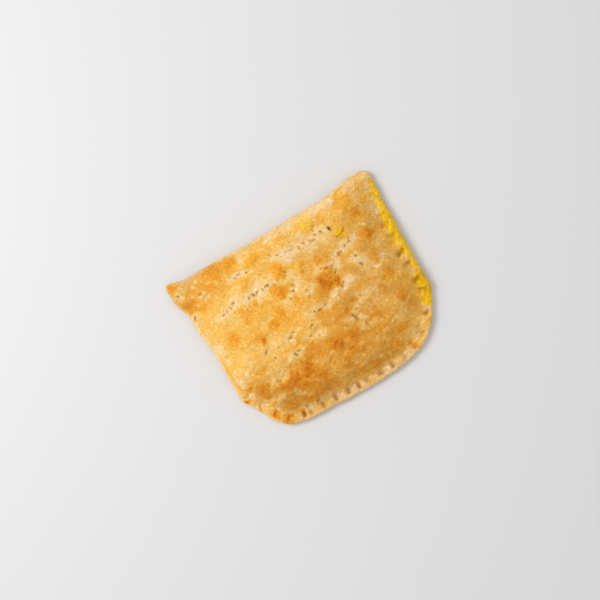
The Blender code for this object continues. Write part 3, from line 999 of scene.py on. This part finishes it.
def upper_stains(x, y, gap, place):
    """The doses of gold and toast over the upper face and the edge: a base, the broad
    zones, whose toast at the front and the right is partly painted shade, random fields
    of several sizes, the brown and pale spots, the patches of the pricks and their pits,
    which get painted shade, and the fork marks."""
    pit, halo = pricked(x, y)
    ragged_x, ragged_y = wandered(x, y)
    brown = browned(x, y, gap)
    pale = spotted(ragged_x, ragged_y, [(*spot, 1.0) for spot in PALE_SPOTS])
    field = waves(x, y, FLECK_LENGTHS, FLECK_SEED, FINE_COUNT)
    fleck = ramp(field + FLECK_FRONT * ramp(y, FLECK_TO_FRONT), FLECK_LEVELS)
    front = ramp(y, FRONT_ZONE) * ramp(gap, FRONT_REACH_IN)
    back_left = ramp(x, BACK_LEFT_ACROSS) * ramp(y, BACK_LEFT_ALONG)
    rim = rim_zone(x, y, gap)
    pressed = crimps(x, y, gap, place)
    broad_gold, broad_toast = broad_stains(x, y)
    lively = blended(LIVELY, np.maximum(front, ramp(x, LIVELY_TO_RIGHT)))

    amber = waves(ragged_x / STREAK, ragged_y, AMBER_LENGTHS, AMBER_SEED, FINE_COUNT)
    gold = MIDDLE_GOLD + FRONT_GOLD * front + BACK_LEFT_GOLD * back_left
    gold = gold + AMBER_GOLD * ramp(amber, AMBER_LEVELS) + broad_gold
    # Paler rim: less baked dough, and painted light at the fold and left edges.
    gold = gold + mixed(x, y, RIM_GOLD_AND_LIGHT) * rim
    gold = gold + lively * layered(ragged_x, ragged_y, GOLD_WAVES)
    gold = gold * (1.0 - np.clip(SPOT_CALM * brown, 0.0, 1.0))
    gold = gold + MIDDLE_GOLD * SPOT_CALM * brown
    gold = gold * (1.0 - blended(HALO_PALER, ramp(y, HALO_TO_FRONT)) * halo)
    gold = gold * (1.0 - SPOT_PALER * pale) * (1.0 - FLECK_PALER * fleck)
    # Painted glow, besides pale dough, at the outer lip.
    gold = gold * (1.0 - LIP_PALER_AND_GLOW * ramp(gap, LIP_REACH))
    gold = gold + SPOT_GOLD * brown + PIT_GOLD * pit
    gold = gold + MARK_GOLD * pressed + FLAKE_GOLD * flaked(x, y)[1]

    # Painted shade, besides browning, on the front and right slopes.
    front_toast_and_shade = FRONT_TOAST_AND_SHADE * front * (1.0 - FRONT_FADES * ramp(x, FRONT_TO_RIGHT))
    right_toast_and_shade = RIGHT_TOAST_AND_SHADE * ramp(x, RIGHT_ZONE) * ramp(gap, RIGHT_REACH_IN)
    toast = np.maximum(front_toast_and_shade, right_toast_and_shade) + BACK_LEFT_TOAST * back_left + broad_toast
    toast = toast + mixed(x, y, RIM_TOAST) * rim + lively * layered(x, y, TOAST_WAVES)
    toast = toast + SPOT_TOAST * ramp(brown, SPOT_TOASTED)
    toast = toast * (1.0 - FLECK_PALER * fleck) * (1.0 - HALO_CLEAN * halo)
    toast = toast + MARK_TOAST * pressed + PIT_TOAST_AND_SHADE * pit
    # Painted shade in the cracks and the crease.
    toast = toast + CRACK_PAINTED_SHADE * cracked(x, y) * halo
    toast = toast + CREASE_PAINTED_SHADE * creased(x, y) + SPLIT_TOAST * split_open(x, y)
    return np.clip(gold, *GOLD_RANGE), toast


def upper_colour(x, y, gap, place):
    """The linear colour of the upper face and the edge, and how far it has baked: the
    stained dough, and the raw yellow in a few spots and in a band along the right edge,
    whose width is read off between YELLOW_PLACES. Pits and fork marks are darkened with
    painted shade."""
    gold, toast = upper_stains(x, y, gap, place)
    pressed = crimps(x, y, gap, place)
    waver = YELLOW_WAVER * waves(x, y, YELLOW_WAVER_LENGTHS, YELLOW_WAVER_SEED)
    waver = waver * ramp(gap, YELLOW_WAVER_REACH)
    width = np.interp(y, YELLOW_PLACES, YELLOW_WIDTHS)
    inside = gap - YELLOW_AT_MARK * pressed + waver - width
    yellow = ramp(inside, (YELLOW_SOFT, -YELLOW_SOFT)) * ramp(x, YELLOW_TO_RIGHT)
    yellow = yellow * ramp(y, YELLOW_ENDS[0]) * ramp(y, YELLOW_ENDS[1])
    field = waves(x, y, RIM_LENGTHS, RIM_SEED, FINE_COUNT)
    uneven = np.tanh(waver / YELLOW_WAVER + field)
    yellow = yellow * (YELLOW_LEAST + YELLOW_UNEVEN * uneven)
    toast = toast + YELLOW_TOAST * yellow * ramp(y, YELLOW_TO_FRONT)
    ragged_x, ragged_y = wandered(x, y)
    for spot_x, spot_y, radius, strength in YELLOW_SPOTS:
        away = np.hypot(ragged_x - spot_x, ragged_y - spot_y) / radius
        yellow = np.maximum(yellow, strength * bell(away))
    raw = np.array(RAW_YELLOW) * np.array(TOAST_LEAVES) ** toast[..., None]
    colour = stained(gold, toast)
    colour = colour + (raw - colour) * yellow[..., None]
    # Painted shade in the fork marks' troughs and in the pits.
    deep = mixed(x, y, MARK_SHADE) * np.clip(pressed / MARK_FULL, 0.0, 1.0) ** 2
    dark = (1.0 - deep) * (1.0 - PIT_SHADE * pricked(x, y)[0])
    return colour * dark[..., None], GOLD_BAKE * gold + toast


def under_colour(x, y):
    """The linear colour of the underside, browned flat on the tray, and its bake."""
    gold = MIDDLE_GOLD + layered(x, y, GOLD_WAVES)
    toast = UNDER_TOAST + UNDER_UNEVEN * layered(x, y, TOAST_WAVES)
    return stained(np.clip(gold, 0.0, None), toast), GOLD_BAKE * gold + toast


# The crust as one closed mesh: the upper face, the edge rings and the underside, which
# has half as many cells each way. The last ring of the edge halves its points to meet it.
# The map lays the upper face and the edge flat as one piece and the underside as another.
MM = 0.001
MAP_WIDTH = 190.0
UPPER_MAP_PLACE = (70.0, 62.0)
UNDER_MAP_PLACE = (36.0, 158.0)
UNDER_MAP_SCALE = 0.5


def grid_loop(first, n, m):
    """The indices of a grid of (n + 1) by (m + 1) points that starts at index `first`,
    and those of its edge points in the outline's order."""
    grid = first + np.arange((n + 1) * (m + 1)).reshape(n + 1, m + 1)
    return grid, np.concatenate([grid[:-1, 0], grid[-1, :-1], grid[:0:-1, -1], grid[0, :0:-1]])


def grid_faces(grid):
    """The four-cornered faces of a grid of point indices, facing up."""
    corners = (grid[:-1, :-1], grid[1:, :-1], grid[1:, 1:], grid[:-1, 1:])
    return np.stack(corners, axis=-1).reshape(-1, 4)


outline_points, outline_inward = edge_loop()
wall = edge_wall(outline_points, outline_inward)
half_long = CELLS_LONG // 2
half_deep = CELLS_DEEP // 2

upper_plan = patch(wall[0][:, :2], CELLS_LONG, CELLS_DEEP)
upper_x, upper_y = np.moveaxis(upper_plan, -1, 0)
upper_gap, upper_place = nearest_edge(upper_x, upper_y)
upper_z = top_height(upper_x, upper_y, upper_gap, upper_place)
upper = np.concatenate([upper_plan, upper_z[..., None]], axis=-1).reshape(-1, 3)

lower_plan = patch(wall[-1][::2, :2], half_long, half_deep)
lower_x, lower_y = np.moveaxis(lower_plan, -1, 0)
lower_z = under_height(lower_x, lower_y, nearest_edge(lower_x, lower_y)[0])
lower = np.concatenate([lower_plan, lower_z[..., None]], axis=-1).reshape(-1, 3)

middle = wall[1:-1]
upper_grid, upper_loop = grid_loop(0, CELLS_LONG, CELLS_DEEP)
lower_grid, lower_loop = grid_loop(len(upper) + middle[..., 0].size, half_long, half_deep)
upper[upper_loop] = wall[0]
lower[lower_loop - lower_grid[0, 0]] = wall[-1][::2]
middle_loops = len(upper) + np.arange(middle[..., 0].size).reshape(len(middle), -1)

loops = np.concatenate([upper_loop[None], middle_loops])
after = np.roll(loops, -1, axis=1)
side_faces = np.stack([loops[:-1], loops[1:], after[1:], after[:-1]], axis=-1).reshape(-1, 4)
first_fine = loops[-1][::2]
middle_fine = loops[-1][1::2]
next_fine = np.roll(first_fine, -1)
next_coarse = np.roll(lower_loop, -1)
halving_faces = np.concatenate(
    [
        np.stack([first_fine, lower_loop, middle_fine], axis=-1),
        np.stack([middle_fine, lower_loop, next_coarse], axis=-1),
        np.stack([middle_fine, next_coarse, next_fine], axis=-1),
    ]
)
under_faces = grid_faces(lower_grid)[:, ::-1]
upper_faces = grid_faces(upper_grid)

edge_points = middle.reshape(-1, 3)
points = np.concatenate([upper, edge_points, lower])
faces = upper_faces.tolist() + side_faces.tolist()
faces += halving_faces.tolist() + under_faces.tolist()

# Under the seam the edge has the plain colour of its lip, so its gap is set to 0 there.
ring_gap = np.linalg.norm(middle[..., :2] - outline_points[None], axis=-1)
ring_gap[RINGS_ABOVE:] = 0.0
ring_place = nearest_edge(*outline_points.T[:, None])[1]
ring_place = np.broadcast_to(ring_place, ring_gap.shape)
upper_paint, upper_bake = upper_colour(upper_x, upper_y, upper_gap, upper_place)
ring_paint, ring_bake = upper_colour(middle[..., 0], middle[..., 1], ring_gap, ring_place)
lower_paint, lower_bake = under_colour(lower_x, lower_y)
paint = np.concatenate([part.reshape(-1, 3) for part in (upper_paint, ring_paint, lower_paint)])
bake = np.concatenate([part.reshape(-1) for part in (upper_bake, ring_bake, lower_bake)])

down_the_edge = np.cumsum(np.linalg.norm(np.diff(wall, axis=0), axis=-1), axis=0)
unrolled = wall[:1, :, :2] - outline_inward[None] * down_the_edge[..., None]
flat_upper = points[:, :2].copy()
flat_upper[len(upper) : len(upper) + len(edge_points)] = unrolled[:-1].reshape(-1, 2)
flat_upper[lower_loop] = unrolled[-1][::2]
flat_upper = (flat_upper + UPPER_MAP_PLACE) / MAP_WIDTH
flat_under = (points[:, :2] * UNDER_MAP_SCALE + UNDER_MAP_PLACE) / MAP_WIDTH

crust_mesh = bpy.data.meshes.new("crust")
crust_mesh.from_pydata((points * MM).tolist(), [], faces)
crust_mesh.shade_smooth()
corner_points = np.empty(len(crust_mesh.loops), np.int32)
crust_mesh.loops.foreach_get("vertex_index", corner_points)
under_corners = under_faces.size
flat = flat_upper[corner_points]
flat[-under_corners:] = flat_under[corner_points[-under_corners:]]
crust_mesh.uv_layers.new(name="OFBake").data.foreach_set("uv", flat.astype(np.float32).ravel())

crust_paint = np.ones((len(points), 4), np.float32)
crust_paint[:, :3] = paint
paint_layer = crust_mesh.attributes.new("crust_paint", "FLOAT_COLOR", "POINT")
paint_layer.data.foreach_set("color", crust_paint.ravel())
bake_layer = crust_mesh.attributes.new("bake", "FLOAT", "POINT")
bake_layer.data.foreach_set("value", bake.astype(np.float32))

crust = bpy.data.objects.new("crust", crust_mesh)
scene = bpy.context.scene
scene.collection.objects.link(crust)


# The finish of the crust: matt and dry where it is pale, with a faint sheen of fat where
# it has browned, and a fine crumb all over. Scales are in crumbs for each metre.
CRUMB_SCALE = 620.0
GRIT_SCALE = 1300.0
CRUMB_DETAIL = 5.0
GRIT_DETAIL = 3.0
GRIT_SHARE = 0.35
CRUMB_FIELD = (0.52, 0.74)
CRUMB_ADDS = (0.30, 0.39, 0.70)
BETWEEN_CRUMBS = (0.965, 0.955, 0.955)
GRIT_FIELD = (0.43, 0.30)
GRIT_TAKES = (-0.36, -0.46, -0.60)
BETWEEN_GRIT = (1.0, 1.0, 1.0)
CRUMB_BUMP = 0.85
CRUMB_HEIGHT_M = 0.0003
SHEEN_ROUGHNESS = (0.74, 0.48)
SHEEN_BAKE = (0.2, 0.8)
CRUST_SPECULAR = 0.14


def stepped(nodes, field, values):
    """A node that turns a field into values: the first below the field's first end, the
    second above its second, and a smooth step between."""
    step = nodes.new("ShaderNodeMapRange")
    step.interpolation_type = "SMOOTHSTEP"
    step.inputs["From Min"].default_value = field[0]
    step.inputs["From Max"].default_value = field[1]
    step.inputs["To Min"].default_value = values[0]
    step.inputs["To Max"].default_value = values[1]
    return step


def tinted(nodes, scale, base):
    """A node that gives base + scale x its input, for red, green and blue apart."""
    tint = nodes.new("ShaderNodeVectorMath")
    tint.operation = "MULTIPLY_ADD"
    tint.inputs[1].default_value = scale
    tint.inputs[2].default_value = base
    return tint


def crust_material():
    """The crust's paint, with pale flecks where the crumb's noise is high and dark specks
    where the finer grit's is low. Both raise the surface a little, and roughness falls as
    the bake darkens."""
    material = bpy.data.materials.new("baked crust")
    material.use_nodes = True
    nodes = material.node_tree.nodes
    link = material.node_tree.links.new
    shader = nodes["Principled BSDF"]
    place = nodes.new("ShaderNodeTexCoord")
    crumb = nodes.new("ShaderNodeTexNoise")
    crumb.inputs["Scale"].default_value = CRUMB_SCALE
    crumb.inputs["Detail"].default_value = CRUMB_DETAIL
    grit = nodes.new("ShaderNodeTexNoise")
    grit.inputs["Scale"].default_value = GRIT_SCALE
    grit.inputs["Detail"].default_value = GRIT_DETAIL
    both = nodes.new("ShaderNodeMath")
    both.operation = "MULTIPLY_ADD"
    both.inputs[1].default_value = GRIT_SHARE
    flecks = stepped(nodes, CRUMB_FIELD, (0.0, 1.0))
    lighter = tinted(nodes, CRUMB_ADDS, BETWEEN_CRUMBS)
    specks = stepped(nodes, GRIT_FIELD, (0.0, 1.0))
    darker = tinted(nodes, GRIT_TAKES, BETWEEN_GRIT)
    both_tints = nodes.new("ShaderNodeVectorMath")
    both_tints.operation = "MULTIPLY"
    paint_node = nodes.new("ShaderNodeAttribute")
    paint_node.attribute_name = "crust_paint"
    shaded = nodes.new("ShaderNodeVectorMath")
    shaded.operation = "MULTIPLY"
    bake_node = nodes.new("ShaderNodeAttribute")
    bake_node.attribute_name = "bake"
    sheen = stepped(nodes, SHEEN_BAKE, SHEEN_ROUGHNESS)
    raised = nodes.new("ShaderNodeBump")
    raised.inputs["Strength"].default_value = CRUMB_BUMP
    raised.inputs["Distance"].default_value = CRUMB_HEIGHT_M
    link(place.outputs["Object"], crumb.inputs["Vector"])
    link(place.outputs["Object"], grit.inputs["Vector"])
    link(grit.outputs["Fac"], both.inputs[0])
    link(crumb.outputs["Fac"], both.inputs[2])
    link(crumb.outputs["Fac"], flecks.inputs["Value"])
    link(grit.outputs["Fac"], specks.inputs["Value"])
    link(flecks.outputs["Result"], lighter.inputs[0])
    link(specks.outputs["Result"], darker.inputs[0])
    link(lighter.outputs["Vector"], both_tints.inputs[0])
    link(darker.outputs["Vector"], both_tints.inputs[1])
    link(paint_node.outputs["Color"], shaded.inputs[0])
    link(both_tints.outputs["Vector"], shaded.inputs[1])
    link(shaded.outputs["Vector"], shader.inputs["Base Color"])
    link(bake_node.outputs["Fac"], sheen.inputs["Value"])
    link(sheen.outputs["Result"], shader.inputs["Roughness"])
    link(both.outputs["Value"], raised.inputs["Height"])
    link(raised.outputs["Normal"], shader.inputs["Normal"])
    shader.inputs["Specular IOR Level"].default_value = CRUST_SPECULAR
    return material


crust_mesh.materials.append(crust_material())
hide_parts("patty")
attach(crust, "root")


# The studio: a plain pale floor, a large soft light from the fold's left, and an even
# white surround.
FLOOR_SIZE_M = 3.0
FLOOR_COLOUR = (0.735, 0.73, 0.735, 1.0)
FLOOR_ROUGHNESS = 0.5
SURROUND_COLOUR = (1.0, 1.0, 1.0, 1.0)
SURROUND_STRENGTH = 0.66
KEY_PLACE_M = (-0.52, 0.46, 0.85)
KEY_SIZE_M = 0.5
KEY_POWER = 6.3

reach = FLOOR_SIZE_M / 2.0
floor_mesh = bpy.data.meshes.new("floor")
floor_corners = [(-reach, -reach, 0), (reach, -reach, 0)]
floor_corners += [(reach, reach, 0), (-reach, reach, 0)]
floor_mesh.from_pydata(floor_corners, [], [(0, 1, 2, 3)])
floor = bpy.data.objects.new("floor", floor_mesh)
scene.collection.objects.link(floor)
floor_material = bpy.data.materials.new("pale floor")
floor_material.use_nodes = True
floor_shader = floor_material.node_tree.nodes["Principled BSDF"]
floor_shader.inputs["Base Color"].default_value = FLOOR_COLOUR
floor_shader.inputs["Roughness"].default_value = FLOOR_ROUGHNESS
floor_mesh.materials.append(floor_material)

surround = bpy.data.worlds.new("surround")
surround.use_nodes = True
background = surround.node_tree.nodes["Background"]
background.inputs["Color"].default_value = SURROUND_COLOUR
background.inputs["Strength"].default_value = SURROUND_STRENGTH
scene.world = surround
scene.view_settings.view_transform = "Standard"

key_light = bpy.data.lights.new("key", "AREA")
key_light.energy = KEY_POWER
key_light.size = KEY_SIZE_M
key = bpy.data.objects.new("key", key_light)
key.location = KEY_PLACE_M
scene.collection.objects.link(key)
key_aim = -np.array(KEY_PLACE_M)
key.rotation_euler = (
    np.arctan2(np.hypot(key_aim[0], key_aim[1]), -key_aim[2]),
    0.0,
    np.arctan2(key_aim[1], key_aim[0]) - np.pi / 2.0,
)

# The camera looks straight down, with the patty turned a third of a right angle
# anticlockwise in its view. Places are in metres.
CAMERA_PLACE_M = (-0.00324, 0.00788, 0.755)
CAMERA_TURN = -0.5228
CAMERA_LENS = 82.1
CAMERA_SENSOR = 36.0

camera_data = bpy.data.cameras.new("camera")
camera_data.lens = CAMERA_LENS
camera_data.sensor_width = CAMERA_SENSOR
camera = bpy.data.objects.new("camera", camera_data)
camera.location = CAMERA_PLACE_M
camera.rotation_euler = (0.0, 0.0, CAMERA_TURN)
scene.collection.objects.link(camera)
scene.camera = camera
